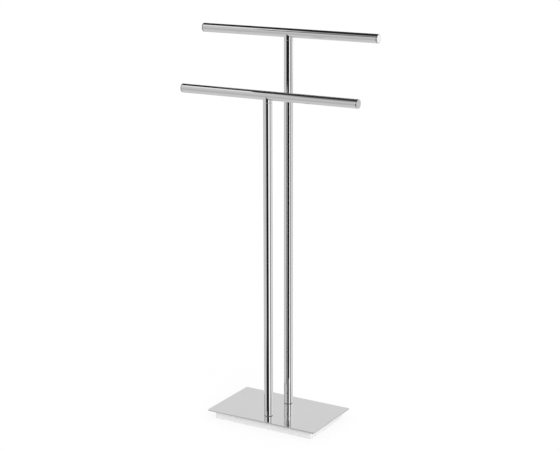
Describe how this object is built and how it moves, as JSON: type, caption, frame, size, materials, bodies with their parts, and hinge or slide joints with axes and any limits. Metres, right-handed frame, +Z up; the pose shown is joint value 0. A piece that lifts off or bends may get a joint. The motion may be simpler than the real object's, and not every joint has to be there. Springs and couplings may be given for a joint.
{
  "type": "freestanding towel stand",
  "caption": "Freestanding towel stand: a tall and a short T-shaped round-tube upright, set back to front on a flat weighted rectangular base with rubber pads.",
  "frame": {"origin": "centre of the base on the floor, under the middle of the bars", "axes": "+X along the bars, +Y to the back (towards the tall upright), +Z up"},
  "size_m": [0.42, 0.162, 0.85],
  "materials": {
    "polished_plate": "mirror-polished chrome plate",
    "chrome_tube": "bright chrome-plated tube",
    "chrome_collar": "bright chrome-plated turned collar",
    "chrome_cap": "bright chrome-plated end cap with a faced end",
    "white_coating": "white powder-coated steel, satin",
    "black_rubber": "moulded black rubber, matt",
    "turned_steel": "turned bare steel",
    "zinc_steel": "bright zinc-plated steel"
  },
  "bodies": {
    "root": {"base_plate": "polished_plate", "ballast_block": "white_coating", "pad_front_left": "black_rubber", "pad_front_right": "black_rubber", "pad_rear_left": "black_rubber", "pad_rear_right": "black_rubber", "front_foot_gasket": "black_rubber", "front_foot_plug": "turned_steel", "front_base_bolt": "zinc_steel", "front_base_washer": "zinc_steel", "front_base_spring_washer": "zinc_steel", "front_stem": "chrome_tube", "front_bar_collar": "chrome_collar", "front_collar_grub_screw": "zinc_steel", "front_bar_bolt": "zinc_steel", "front_bar_spring_washer": "zinc_steel", "front_bar_nut_block": "turned_steel", "front_bar": "chrome_tube", "front_bar_cap_left": "chrome_cap", "front_bar_cap_right": "chrome_cap", "front_bar_ring_left": "black_rubber", "front_bar_ring_right": "black_rubber", "rear_foot_gasket": "black_rubber", "rear_foot_plug": "turned_steel", "rear_base_bolt": "zinc_steel", "rear_base_washer": "zinc_steel", "rear_base_spring_washer": "zinc_steel", "rear_stem": "chrome_tube", "rear_bar_collar": "chrome_collar", "rear_collar_grub_screw": "zinc_steel", "rear_bar_bolt": "zinc_steel", "rear_bar_spring_washer": "zinc_steel", "rear_bar_nut_block": "turned_steel", "rear_bar": "chrome_tube", "rear_bar_cap_left": "chrome_cap", "rear_bar_cap_right": "chrome_cap", "rear_bar_ring_left": "black_rubber", "rear_bar_ring_right": "black_rubber"}
  },
  "joints": []
}
